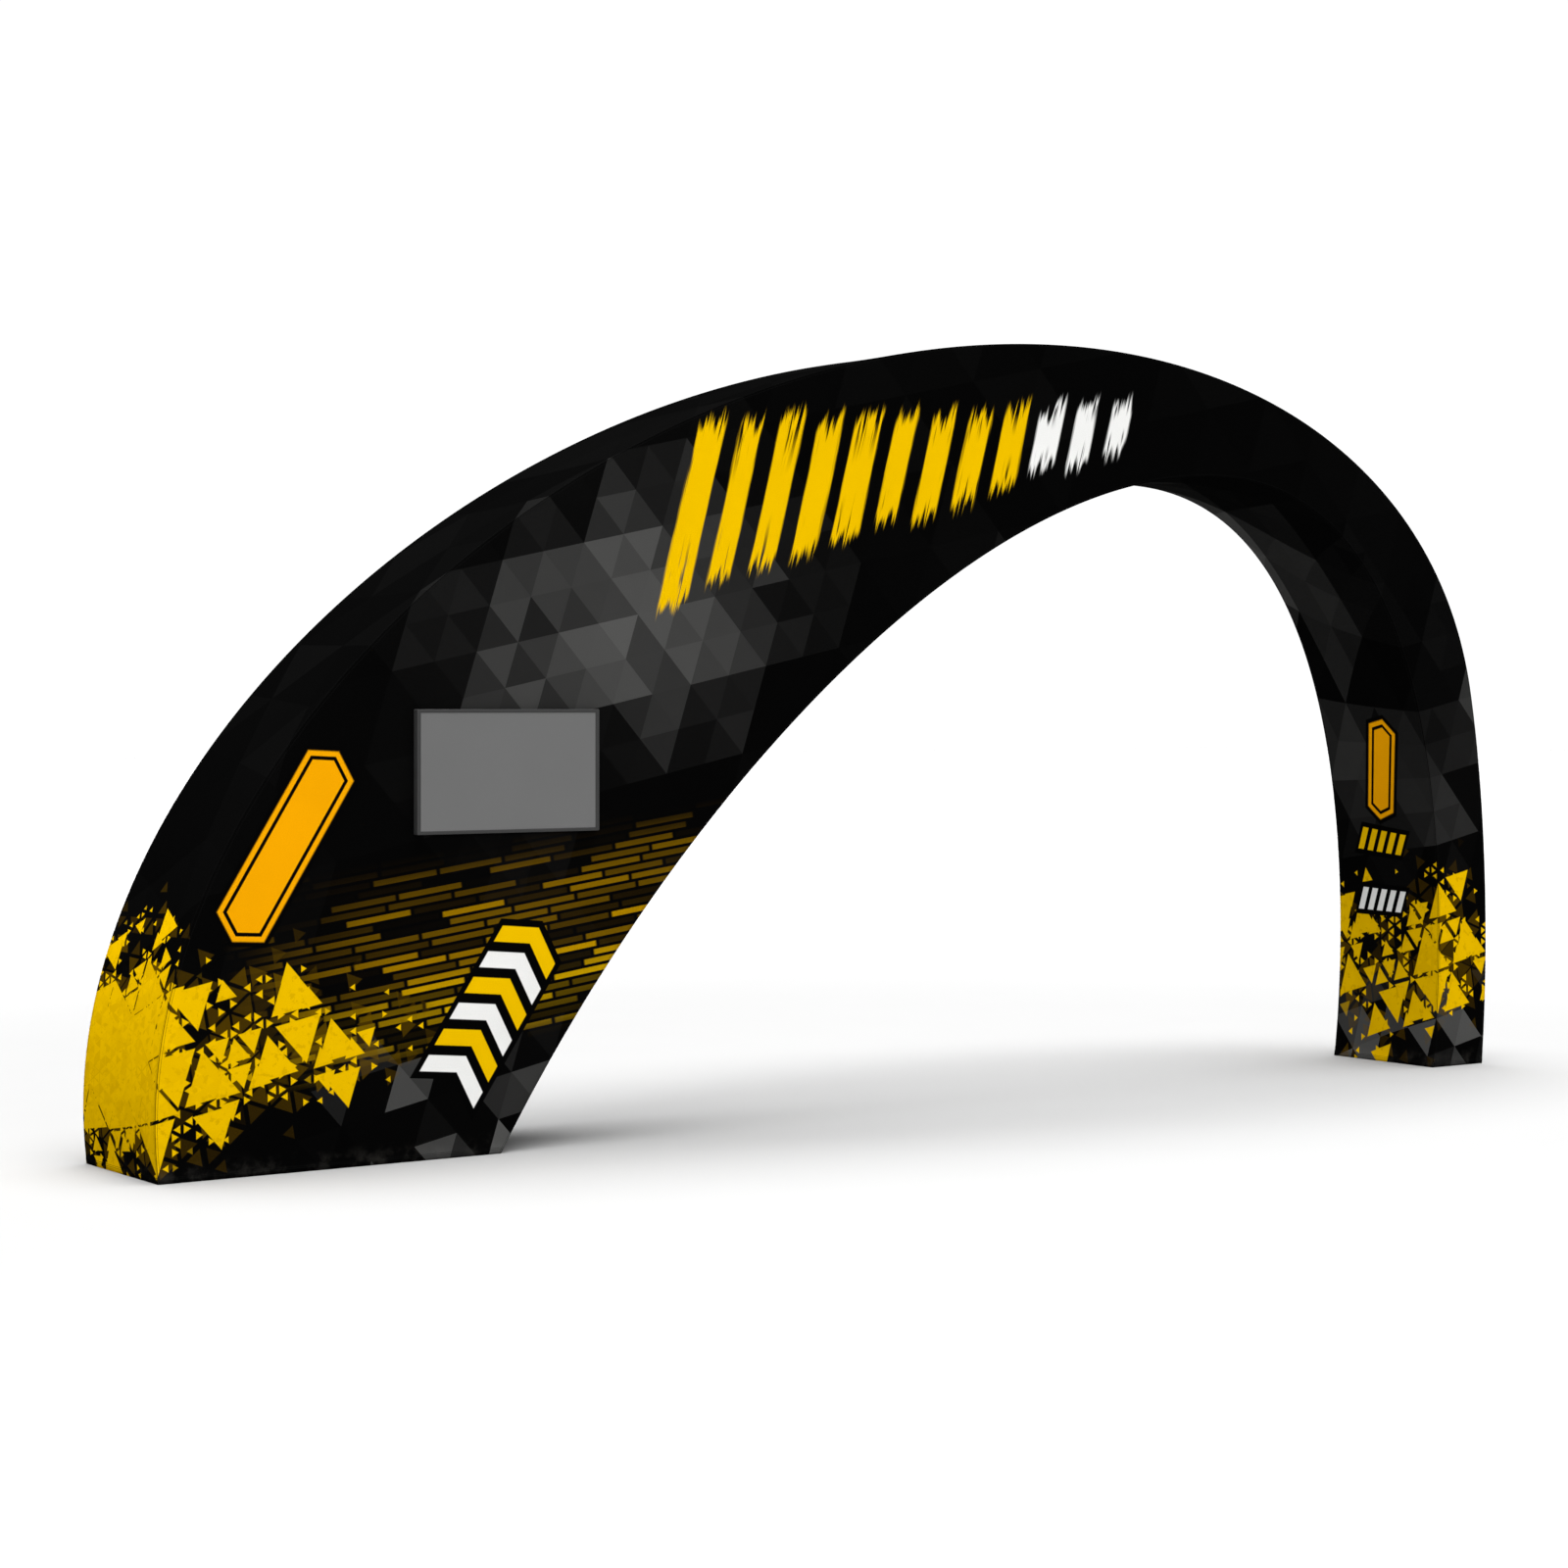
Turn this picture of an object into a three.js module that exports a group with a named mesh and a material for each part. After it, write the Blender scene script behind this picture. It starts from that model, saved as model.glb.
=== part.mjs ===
// Archway banner stand: a stretch-cloth cover, sewn from four pieces, on a frame of square tube, with a
// flat monitor on the front of its broad leg. Millimetres, +Z up. X runs from the broad leg to the slim
// leg and Y from front to back. The origin is on the floor, under the middle of the whole.
import * as THREE from "three";

// Clearances and the cloth cover
const GAP = 0.3;
const CLOTH = 2;
const COVER_DEPTH = 600;
const STATIONS = 84;
const SLACK = 0.25; // share of a balanced saddle's dip that the strips show between the rails

// Frame of square tube, standing on flat steel feet
const TUBE = 30;
const RAIL_SECTIONS = 3;
const FOOT_THICKNESS = 6;
const FOOT_BAR = 60;
const CROSS_BAR = 24;
const CROSS_RECESS = 6; // keeps the cross frames from showing through the cloth
const CROSS_STATIONS = [24, 44, 66];

// Monitor, placed by its lower left corner from the broad leg's outer foot
const MONITOR = { x: 942, z: 1125, width: 734, height: 433, corner: 5 };
const BEZEL = { side: 15, rim: 12, depth: 4.7, corner: 1 };
const HOUSING_DEPTH = 22;
const HOUSING_BEVEL = 3;
const SCREEN_RECESS = 1.6;
const CORNER_SEGMENTS = 4;
const BRACKET = { size: 260, depth: 4 };
const MONITOR_BAR = 25;
const MONITOR_BAR_SPACING = 200;

// Knots of the arch's two edges, as seen from the front. x is from the broad leg's outer foot, z above the
// floor, and heading the direction of travel in degrees, where 90 is up and 0 is towards the slim leg.
// back and ahead are the lengths of the curve's handles before and after the knot.
const OUTER_KNOTS = [
  { at: "broad foot", x: 0, z: 0, heading: 97.5, back: 0, ahead: 1484 },
  { at: "crown", x: 3897, z: 3000, heading: 0, back: 2067, ahead: 1148 },
  { at: "slim knee", x: 6154, z: 1693, heading: -76.4, back: 839, ahead: 10 },
  { at: "slim foot", x: 6238, z: 0, heading: -94.9, back: 1000, ahead: 0 },
];
const INNER_KNOTS = [
  { at: "broad foot", x: 1288, z: 0, heading: 59.4, back: 0, ahead: 1443 },
  { at: "crown", x: 4687, z: 2513, heading: 0, back: 1250, ahead: 1397 },
  { at: "slim foot", x: 5930, z: 0, heading: -98.4, back: 580, ahead: 0 },
];

const MATERIALS = {
  cloth: new THREE.MeshStandardMaterial({ color: 0x0b0b0b, roughness: 0.85, metalness: 0 }),
  tube: new THREE.MeshStandardMaterial({ color: 0xb9bcc0, roughness: 0.4, metalness: 1 }),
  steel: new THREE.MeshStandardMaterial({ color: 0x2b2d2f, roughness: 0.6, metalness: 0.4 }),
  plastic: new THREE.MeshStandardMaterial({ color: 0x3a3a3a, roughness: 0.45, metalness: 0 }),
  glass: new THREE.MeshStandardMaterial({ color: 0x707070, roughness: 0.25, metalness: 0 }),
};

// Places from front to back, from the middle of the cover
const FACE = COVER_DEPTH / 2;
const LINED = FACE - CLOTH - GAP; // what touches the inside of a panel
const RAIL_BACK = LINED - TUBE;
const MONITOR_PROUD = GAP + HOUSING_DEPTH + GAP + BEZEL.depth;

// How far in from the cover's edge a piece meets the inner side of a rail
const RAIL_INSIDE = CLOTH + GAP + TUBE + GAP;

// Point at a distance from a knot along its heading
function along(knot, distance) {
  const heading = THREE.MathUtils.degToRad(knot.heading);
  const step = new THREE.Vector2(Math.cos(heading), Math.sin(heading)).multiplyScalar(distance);
  return step.add(new THREE.Vector2(knot.x, knot.z));
}

// An edge of the arch: even stations on the smooth curve through its knots. inward is 1 where the inside
// of the cover lies to the right of the travel, and -1 where it lies to the left.
function makeEdge(knots, inward) {
  const path = new THREE.CurvePath();
  knots.slice(1).forEach((to, i) => {
    const from = knots[i];
    const handles = [along(from, from.ahead), along(to, -to.back)];
    path.add(new THREE.CubicBezierCurve(along(from, 0), ...handles, along(to, 0)));
  });
  return { points: path.getSpacedPoints(STATIONS), inward };
}

// Unit direction of travel at a station of a line
function travel(points, i) {
  const before = points[Math.max(i - 1, 0)];
  const after = points[Math.min(i + 1, points.length - 1)];
  return after.clone().sub(before).normalize();
}

// The line beside an edge, at a distance towards the inside of the cover, with its two ends at one height
function inset(edge, distance, endHeight = 0) {
  const last = edge.points.length - 1;
  return edge.points.map((point, i) => {
    const ahead = travel(edge.points, i);
    const side = new THREE.Vector2(ahead.y, -ahead.x).multiplyScalar(distance * edge.inward);
    const moved = point.clone().add(side);
    if (i === 0 || i === last) {
      moved.addScaledVector(ahead, (endHeight - moved.y) / ahead.y);
    }
    return moved;
  });
}

// How far a strip stretched between two rails dips towards the centre of the edge's curve, at each station
function dips(edge) {
  const span = 2 * RAIL_BACK;
  const last = edge.points.length - 1;
  return edge.points.map((point, i) => {
    if (i === 0 || i === last) {
      return 0;
    }
    const turn = travel(edge.points, i + 1).cross(travel(edge.points, i - 1));
    const run = edge.points[i + 1].distanceTo(edge.points[i - 1]);
    return Math.max(SLACK * (turn / run) * span * span / 8, 0);
  });
}

function at(point, y) {
  return new THREE.Vector3(point.x, y, point.y);
}

// A closed solid through sections of as many points each, every section running out along one side and
// back along the other. A ring joins its last section to its first, and any other solid has end caps.
function solidThrough(sections, isRing = false) {
  const size = sections[0].length;
  const points = sections.flat();
  const index = [];
  const quad = (a, b, c, d) => index.push(a, b, c, a, c, d);
  for (let i = 0; i < sections.length - (isRing ? 0 : 1); i += 1) {
    const row = i * size;
    const next = ((i + 1) % sections.length) * size;
    for (let j = 0; j < size; j += 1) {
      const k = (j + 1) % size;
      quad(row + j, row + k, next + k, next + j);
    }
  }
  const end = (sections.length - 1) * size;
  for (let j = 0; !isRing && j < size / 2 - 1; j += 1) {
    const k = size - 1 - j;
    quad(j, k, k - 1, j + 1);
    quad(end + j, end + j + 1, end + k - 1, end + k);
  }
  const geometry = new THREE.BufferGeometry().setFromPoints(points);
  geometry.setIndex(facingOut(points, index));
  geometry.computeVertexNormals();
  return geometry;
}

// The triangles turned so that they enclose a positive volume
function facingOut(points, index) {
  let volume = 0;
  for (let i = 0; i < index.length; i += 3) {
    const [a, b, c] = index.slice(i, i + 3).map((k) => points[k]);
    volume += a.dot(new THREE.Vector3().crossVectors(b, c));
  }
  return volume > 0 ? index : index.slice().reverse();
}

const arch = new THREE.Group();

function addPiece(name, geometry, material) {
  const mesh = new THREE.Mesh(geometry, material.clone());
  mesh.name = name;
  arch.add(mesh);
  return mesh;
}

const outer = makeEdge(OUTER_KNOTS, 1);
const inner = makeEdge(INNER_KNOTS, -1);

// A face of the cover, from edge to edge
function addPanel(name, front, back) {
  const sections = outer.points.map((rim, i) => {
    const mouth = inner.points[i];
    return [at(rim, front), at(mouth, front), at(mouth, back), at(rim, back)];
  });
  addPiece(name, solidThrough(sections), MATERIALS.cloth);
}

// A strip of the cover along one edge, flat over the rails and dipping between them
function addGusset(name, edge) {
  const shape = [
    { y: -LINED, dip: 0 },
    { y: -RAIL_BACK, dip: 0 },
    { y: -RAIL_BACK / 2, dip: 0.75 },
    { y: 0, dip: 1 },
    { y: RAIL_BACK / 2, dip: 0.75 },
    { y: RAIL_BACK, dip: 0 },
    { y: LINED, dip: 0 },
  ];
  const faces = [edge.points, inset(edge, CLOTH)];
  const depth = dips(edge);
  const sections = edge.points.map((point, i) => {
    const ahead = travel(edge.points, i);
    const towardsCentre = new THREE.Vector2(ahead.y, -ahead.x);
    const place = (face, row) => {
      return at(face[i].clone().addScaledVector(towardsCentre, depth[i] * row.dip), row.y);
    };
    const out = shape.map((row) => place(faces[0], row));
    const back = shape.map((row) => place(faces[1], row)).reverse();
    return [...out, ...back];
  });
  addPiece(name, solidThrough(sections), MATERIALS.cloth);
}

// A bent rail behind a seam, in sections that plug into each other end to end
function addRail(name, edge, front, back) {
  const near = inset(edge, CLOTH + GAP, FOOT_THICKNESS + GAP);
  const far = inset(edge, CLOTH + GAP + TUBE, FOOT_THICKNESS + GAP);
  const stride = STATIONS / RAIL_SECTIONS;
  for (let part = 0; part < RAIL_SECTIONS; part += 1) {
    const first = part * stride;
    const final = first + stride;
    const jointTrim = {
      [first]: part > 0 ? GAP / 2 : 0,
      [final]: part < RAIL_SECTIONS - 1 ? -GAP / 2 : 0,
    };
    const sections = [];
    for (let i = first; i <= final; i += 1) {
      const trim = travel(near, i).multiplyScalar(jointTrim[i] ?? 0);
      const top = near[i].clone().add(trim);
      const low = far[i].clone().add(trim);
      sections.push([at(top, front), at(top, back), at(low, back), at(low, front)]);
    }
    addPiece(`${name}_${part + 1}`, solidThrough(sections), MATERIALS.tube);
  }
}

// A welded rectangle between the four rails, just after a station, with its ends cut to lie along them
function addCrossFrame(name, station) {
  const ends = [inset(outer, RAIL_INSIDE), inset(inner, RAIL_INSIDE)].map((line) => {
    const facet = line[station + 1].clone().sub(line[station]);
    const middle = line[station].clone().addScaledVector(facet, 0.5);
    const half = facet.normalize().multiplyScalar(CROSS_BAR / 2);
    return [middle.clone().sub(half), middle.clone().add(half)];
  });
  const across = ends[1][0].clone().sub(ends[0][0]).normalize().multiplyScalar(CROSS_BAR);
  const deep = LINED - CROSS_RECESS;
  const corner = (end, side) => {
    const step = across.clone().multiplyScalar(end === 0 ? 1 : -1);
    const [low, high] = ends[end];
    const inside = side * (deep - CROSS_BAR);
    return [
      at(low, side * deep),
      at(high, side * deep),
      at(high.clone().add(step), inside),
      at(low.clone().add(step), inside),
    ];
  };
  const ring = [corner(0, -1), corner(1, -1), corner(1, 1), corner(0, 1)];
  addPiece(name, solidThrough(ring, true), MATERIALS.tube);
}

// Rectangle on the floor, between two places along the arch and as far to the front as to the back
function footprint(PathType, from, to, reach) {
  const corners = [[from, -reach], [to, -reach], [to, reach], [from, reach]];
  return new PathType(corners.map(([x, y]) => new THREE.Vector2(x, y)));
}

// Flat steel frame inside a leg's hem
function addFoot(name, from, to) {
  const plate = footprint(THREE.Shape, from, to, LINED);
  plate.holes.push(footprint(THREE.Path, from + FOOT_BAR, to - FOOT_BAR, LINED - FOOT_BAR));
  const geometry = new THREE.ExtrudeGeometry(plate, { depth: FOOT_THICKNESS, bevelEnabled: false });
  addPiece(name, geometry, MATERIALS.steel);
}

// Both feet, as long as the hems leave room for over the whole thickness of the plates
function addFeet() {
  const clear = [0, FOOT_THICKNESS].map((height) => {
    return { outer: inset(outer, CLOTH + GAP, height), inner: inset(inner, CLOTH + GAP, height) };
  });
  const first = (name) => clear.map((line) => line[name][0].x);
  const last = (name) => clear.map((line) => line[name][STATIONS].x);
  addFoot("broad_foot", Math.max(...first("outer")), Math.min(...first("inner")));
  addFoot("slim_foot", Math.max(...last("inner")), Math.min(...last("outer")));
}

// Where a line that climbs from the broad foot first reaches a height
function crossing(line, height) {
  const i = line.findIndex((point) => point.y >= height);
  const share = (height - line[i - 1].y) / (line[i].y - line[i - 1].y);
  return THREE.MathUtils.lerp(line[i - 1].x, line[i].x, share);
}

// A level bar across the broad leg, from rail to rail, with its ends cut along them
function addMonitorBar(name, height, front) {
  const low = height - MONITOR_BAR / 2;
  const high = height + MONITOR_BAR / 2;
  const back = front + MONITOR_BAR;
  const sections = [inset(outer, RAIL_INSIDE), inset(inner, RAIL_INSIDE)].map((line) => {
    const foot = new THREE.Vector2(crossing(line, low), low);
    const head = new THREE.Vector2(crossing(line, high), high);
    return [at(foot, front), at(foot, back), at(head, back), at(head, front)];
  });
  addPiece(name, solidThrough(sections), MATERIALS.tube);
}

// Upright rectangle round the monitor's middle, with round corners, as a shape or as a hole
function rectangle(PathType, width, height, corner) {
  const path = new PathType();
  const [right, top] = [width / 2, height / 2];
  path.moveTo(right - corner, -top);
  path.absarc(right - corner, corner - top, corner, -Math.PI / 2, 0);
  path.absarc(right - corner, top - corner, corner, 0, Math.PI / 2);
  path.absarc(corner - right, top - corner, corner, Math.PI / 2, Math.PI);
  path.absarc(corner - right, corner - top, corner, Math.PI, Math.PI * 1.5);
  path.closePath();
  return path;
}

// A plate of the monitor, with its back face at a place and its thickness towards the front
function addMonitorPlate(name, outline, back, settings, material) {
  const plain = { curveSegments: CORNER_SEGMENTS, bevelEnabled: false };
  const geometry = new THREE.ExtrudeGeometry(outline, { ...plain, ...settings });
  const mesh = addPiece(name, geometry, material);
  mesh.rotation.x = Math.PI / 2;
  mesh.position.set(MONITOR.x + MONITOR.width / 2, back, MONITOR.z + MONITOR.height / 2);
}

function addMonitor() {
  const back = -FACE - GAP;
  const front = back - HOUSING_DEPTH;
  const { width, height, corner } = MONITOR;
  const opening = [width - 2 * BEZEL.side, height - 2 * BEZEL.rim];
  const bevel = {
    depth: HOUSING_DEPTH - 2 * HOUSING_BEVEL,
    bevelEnabled: true,
    bevelThickness: HOUSING_BEVEL,
    bevelSize: HOUSING_BEVEL,
    bevelOffset: -HOUSING_BEVEL,
    bevelSegments: 1,
  };
  const shell = rectangle(THREE.Shape, width, height, corner);
  addMonitorPlate("monitor_housing", shell, back - HOUSING_BEVEL, bevel, MATERIALS.plastic);
  const rim = rectangle(THREE.Shape, width, height, corner);
  rim.holes.push(rectangle(THREE.Path, opening[0], opening[1], BEZEL.corner));
  addMonitorPlate("monitor_bezel", rim, front - GAP, { depth: BEZEL.depth }, MATERIALS.plastic);
  const pane = rectangle(THREE.Shape, opening[0] - 2 * GAP, opening[1] - 2 * GAP, BEZEL.corner);
  const paneDepth = BEZEL.depth - SCREEN_RECESS;
  addMonitorPlate("monitor_screen", pane, front - GAP, { depth: paneDepth }, MATERIALS.glass);
}

// The bars and the plate behind the cloth that carry the monitor
function addMonitorSupport() {
  const middle = MONITOR.z + MONITOR.height / 2;
  const plate = addPiece(
    "monitor_bracket",
    new THREE.BoxGeometry(BRACKET.size, BRACKET.depth, BRACKET.size),
    MATERIALS.steel,
  );
  plate.position.set(MONITOR.x + MONITOR.width / 2, -LINED + BRACKET.depth / 2, middle);
  const front = -LINED + BRACKET.depth + GAP;
  addMonitorBar("monitor_bar_low", middle - MONITOR_BAR_SPACING / 2, front);
  addMonitorBar("monitor_bar_high", middle + MONITOR_BAR_SPACING / 2, front);
}

addPanel("front_panel", -FACE, -FACE + CLOTH);
addPanel("back_panel", FACE - CLOTH, FACE);
addGusset("outer_gusset", outer);
addGusset("inner_gusset", inner);
addRail("outer_rail_front", outer, -LINED, -RAIL_BACK);
addRail("outer_rail_back", outer, RAIL_BACK, LINED);
addRail("inner_rail_front", inner, -LINED, -RAIL_BACK);
addRail("inner_rail_back", inner, RAIL_BACK, LINED);
CROSS_STATIONS.forEach((station, i) => addCrossFrame(`cross_frame_${i + 1}`, station));
addFeet();
addMonitorSupport();
addMonitor();

// Centre the whole over the origin, the monitor included
const reach = outer.points.map((point) => point.x);
arch.position.set(-(Math.min(...reach) + Math.max(...reach)) / 2, MONITOR_PROUD / 2, 0);

const stand = new THREE.Group();
stand.add(arch);

export default stand;
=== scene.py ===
"""Dresses the archway banner stand: printed stretch cloth on a tube frame, a monitor, a floor and light."""
import math

import bpy
import numpy as np
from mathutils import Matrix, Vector


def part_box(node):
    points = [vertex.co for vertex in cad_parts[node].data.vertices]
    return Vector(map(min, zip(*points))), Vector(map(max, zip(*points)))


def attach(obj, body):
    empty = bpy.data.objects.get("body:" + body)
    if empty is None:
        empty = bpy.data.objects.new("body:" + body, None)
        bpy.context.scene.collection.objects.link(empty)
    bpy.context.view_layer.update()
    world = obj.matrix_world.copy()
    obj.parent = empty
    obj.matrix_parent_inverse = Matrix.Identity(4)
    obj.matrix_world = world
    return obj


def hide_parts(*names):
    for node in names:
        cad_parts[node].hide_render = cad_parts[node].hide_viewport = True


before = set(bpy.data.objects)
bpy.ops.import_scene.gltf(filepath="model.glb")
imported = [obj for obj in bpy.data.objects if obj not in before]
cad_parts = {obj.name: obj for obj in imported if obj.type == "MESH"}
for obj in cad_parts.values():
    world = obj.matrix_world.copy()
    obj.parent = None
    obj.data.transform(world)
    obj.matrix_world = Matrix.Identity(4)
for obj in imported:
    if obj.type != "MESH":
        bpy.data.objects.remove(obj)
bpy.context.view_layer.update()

# Shape of the arch, in metres

# Knots of the arch's two edges. x is from the broad leg's outer foot, z above the floor, and heading the
# direction of travel in degrees, where 90 is up and 0 is towards the slim leg. back and ahead are the
# lengths of the curve's handles before and after the knot.
OUTER_KNOTS = (
    dict(x=0.0, z=0.0, heading=97.5, back=0.0, ahead=1.484),
    dict(x=3.897, z=3.0, heading=0.0, back=2.067, ahead=1.148),
    dict(x=6.154, z=1.693, heading=-76.4, back=0.839, ahead=0.010),
    dict(x=6.238, z=0.0, heading=-94.9, back=1.0, ahead=0.0),
)
INNER_KNOTS = (
    dict(x=1.288, z=0.0, heading=59.4, back=0.0, ahead=1.443),
    dict(x=4.687, z=2.513, heading=0.0, back=1.250, ahead=1.397),
    dict(x=5.930, z=0.0, heading=-98.4, back=0.580, ahead=0.0),
)
CURVE_SAMPLES = 700    # points of each curve between two knots


def corners(box):
    """Lowest and highest corner of a box, as arrays."""
    return [np.array(corner) for corner in box]


PANEL_LOW, PANEL_HIGH = corners(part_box("front_panel"))
FRONT = PANEL_LOW[1]
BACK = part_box("back_panel")[1][1]
DEPTH = BACK - FRONT

# Cloth

CLOTH_THICKNESS = 0.001
ROLL = 0.002           # radius of the cover's sewn edges
ROLL_STEPS = 4
TUCK = 0.0005          # how far the cloth turns in at a seam
HEM_HEIGHT = 0.024
HEM_STEP = 0.022       # height at which the hem's second layer ends
HEM_PROUD = 0.0007     # thickness of that layer
HEM_ROWS = (0.0, 0.012, HEM_STEP, HEM_HEIGHT)  # heights of the grid's rows in a hem
HEM_GAP = 0.0005       # between a hem and the floor
BODY_ROWS = 220
PANEL_COLUMNS = 24
STRIP_COLUMNS = 18
RAIL_WIDTH = 0.0326    # the strips lie flat over the rails, and dip between them
FREE_SPAN = DEPTH - 2 * RAIL_WIDTH
SLACK = 0.25           # share of a balanced saddle's dip that the strips show
BEND_WINDOW = 0.25     # length over which the bend of an edge is averaged
STIFF_HEIGHT = 0.3     # the dip fades out over this height above a foot
SEAM_ALLOWANCE = 0.01


class Edge:
    """One edge of the arch as a line of many points, from the broad foot to the slim foot."""

    def __init__(self, knots, outward_side):
        self.outward_side = outward_side  # 1 where the cover's outside is on the left of the travel, else -1
        pieces = [self._curve(*pair) for pair in zip(knots[:-1], knots[1:])]
        self.line = np.vstack([pieces[0]] + [piece[1:] for piece in pieces[1:]])
        steps = np.hypot(*np.diff(self.line, axis=0).T)
        self.lengths = np.concatenate([[0.0], np.cumsum(steps)])
        ahead = np.gradient(self.line, self.lengths, axis=0)
        self.ahead = ahead / np.linalg.norm(ahead, axis=1)[:, None]
        self.bend = self._averaged_bend()

    @staticmethod
    def _curve(start, end):
        """Cubic curve between two knots."""
        def along(knot, distance):
            heading = math.radians(knot["heading"])
            step = np.array([math.cos(heading), math.sin(heading)]) * distance
            return step + (knot["x"], knot["z"])

        points = [along(start, 0.0), along(start, start["ahead"]), along(end, -end["back"]), along(end, 0.0)]
        share = np.linspace(0, 1, CURVE_SAMPLES)[:, None]
        rest = 1 - share
        weights = [rest ** 3, 3 * share * rest ** 2, 3 * share ** 2 * rest, share ** 3]
        return sum(weight * point for weight, point in zip(weights, points))

    def _averaged_bend(self):
        """Turn to the right for each metre of travel."""
        headings = np.unwrap(np.arctan2(self.ahead[:, 1], self.ahead[:, 0]))
        turning = -np.gradient(headings, self.lengths)
        even = np.linspace(0, self.lengths[-1], 2 * CURVE_SAMPLES)
        window = max(int(BEND_WINDOW / even[1]), 1)
        padded = np.pad(np.interp(even, self.lengths, turning), window, mode="edge")
        smooth = np.convolve(padded, np.ones(window) / window, mode="same")[window:-window]
        return np.interp(self.lengths, even, smooth)

    def row_lengths(self):
        """Lengths of the rows of a cloth piece: the hem's at both feet, and even ones between."""
        top = int(np.argmax(self.line[:, 1]))
        rise = np.interp(HEM_ROWS, self.line[:top, 1], self.lengths[:top])
        fall = np.interp(HEM_ROWS, self.line[top:, 1][::-1], self.lengths[top:][::-1])[::-1]
        body = np.linspace(rise[-1], fall[0], BODY_ROWS)[1:-1]
        return np.concatenate([rise, body, fall])

    def read(self, values, lengths):
        """Values along the line, read at some lengths."""
        columns = np.atleast_2d(np.asarray(values).T)
        return np.stack([np.interp(lengths, self.lengths, column) for column in columns], axis=-1)


class Rows:
    """The rows of a cloth piece at one edge: place, outward direction, dip and thickness of the hem."""

    def __init__(self, edge, foot_x):
        self.lengths = edge.row_lengths()
        self.place = edge.read(edge.line, self.lengths) + (foot_x, 0.0)
        ahead = edge.read(edge.ahead, self.lengths)
        ahead /= np.linalg.norm(ahead, axis=1)[:, None]
        self.outward = np.stack([-ahead[:, 1], ahead[:, 0]], axis=1) * edge.outward_side
        height = self.place[:, 1]
        bend = edge.read(edge.bend, self.lengths)[:, 0]
        full_dip = bend * FREE_SPAN ** 2 / 8  # rise of an arc with that bend over that span
        dip = np.maximum(SLACK * full_dip, 0.0)
        self.dip = dip * np.minimum(height / STIFF_HEIGHT, 1.0) * edge.outward_side
        self.hem = np.where(height < (HEM_STEP + HEM_HEIGHT) / 2, HEM_PROUD, 0.0)


outer_edge = Edge(OUTER_KNOTS, 1)
inner_edge = Edge(INNER_KNOTS, -1)
FOOT_X = PANEL_LOW[0] - outer_edge.line[:, 0].min()  # where the broad leg's outer foot is
outer = Rows(outer_edge, FOOT_X)
inner = Rows(inner_edge, FOOT_X)


def add_object(name, content):
    """Links a mesh, lamp or camera to the scene as an object."""
    item = bpy.data.objects.new(name, content)
    bpy.context.scene.collection.objects.link(item)
    return item


def grid_faces(rows, columns):
    """Quads between the points of a grid."""
    index = np.arange(rows * columns).reshape(rows, columns)
    quads = np.stack([index[:-1, :-1], index[1:, :-1], index[1:, 1:], index[:-1, 1:]], axis=-1)
    return quads.reshape(-1, 4)


def roll_profile():
    """A sewn edge from the seam to the flat of a face: (inset from the edge, depth from the face)."""
    angles = np.linspace(math.pi / 4, math.pi / 2, ROLL_STEPS + 1)
    arc = np.stack([ROLL - ROLL * np.cos(angles), ROLL - ROLL * np.sin(angles)], axis=1)
    return np.vstack([arc[:1] + TUCK, arc])


def panel_grid(face, inside):
    """Grid and maps of a front or back face. inside is the direction along Y into the cover."""
    roll = roll_profile()

    def rim(rows):
        """Place and print of the sewn edge along one side of the face."""
        inset, depth = roll[None, :, :1], roll[None, :, 1:]
        edge, outward = rows.place[:, None, :], rows.outward[:, None, :]
        return edge - outward * inset, edge + outward * (depth - inset)

    (outer_place, outer_print), (inner_place, inner_print) = rim(outer), rim(inner)
    share = np.linspace(0, 1, PANEL_COLUMNS + 2)[1:-1][None, :, None]
    flat = outer_place[:, -1:] * (1 - share) + inner_place[:, -1:] * share
    place = np.concatenate([outer_place, flat, inner_place[:, ::-1]], axis=1)
    printed = np.concatenate([outer_print, flat, inner_print[:, ::-1]], axis=1)
    depth = np.concatenate([roll[:, 1], np.zeros(PANEL_COLUMNS), roll[::-1, 1]])
    y = face + inside * (depth[None, :] - outer.hem[:, None])
    from_outer = np.linalg.norm(place - outer.place[:, None, :], axis=-1)
    from_inner = np.linalg.norm(place - inner.place[:, None, :], axis=-1)
    lengths = np.broadcast_to(outer.lengths[:, None], y.shape)
    seam = np.stack([np.minimum(from_outer, from_inner), lengths], axis=-1)
    return np.stack([place[..., 0], y, place[..., 1]], axis=-1), printed, printed, seam


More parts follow.
